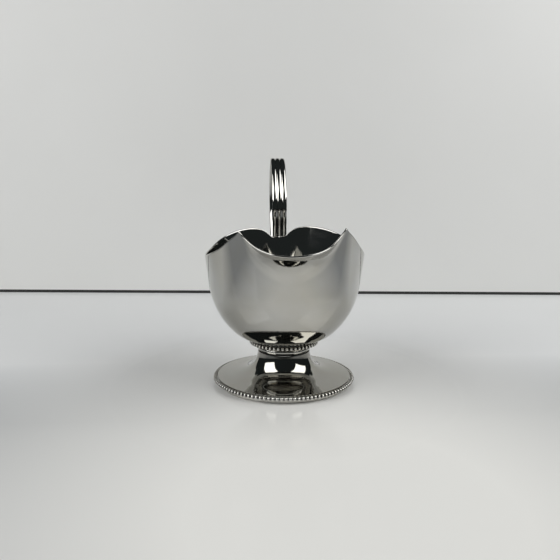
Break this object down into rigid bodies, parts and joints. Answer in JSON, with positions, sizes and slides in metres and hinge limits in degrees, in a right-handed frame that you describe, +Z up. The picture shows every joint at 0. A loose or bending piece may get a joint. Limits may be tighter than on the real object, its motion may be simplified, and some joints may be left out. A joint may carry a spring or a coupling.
{
  "type": "cream jug",
  "caption": "Polished silver cream jug with scalloped rim, flared pouring lip, reeded loop handle and pearl-edged trumpet foot.",
  "frame": {"origin": "on the table, under the middle of the whole outline: the foot's own axis is 13.5 mm towards the lip, at Y = -0.0135", "axes": "+Z up; the pouring lip points to -Y and the handle to +Y; +X is to the right when looking along +Y"},
  "size_m": [0.0764, 0.12, 0.1124],
  "materials": {
    "polished_silver": "polished",
    "pearl_silver": "polished",
    "base_silver": "satin"
  },
  "bodies": {
    "root": {"bowl": "polished_silver", "handle": "polished_silver", "neck_collar": "polished_silver", "neck_bead_wire": "pearl_silver", "foot": "polished_silver", "foot_bead_wire": "pearl_silver", "base_ring": "base_silver"}
  },
  "joints": []
}
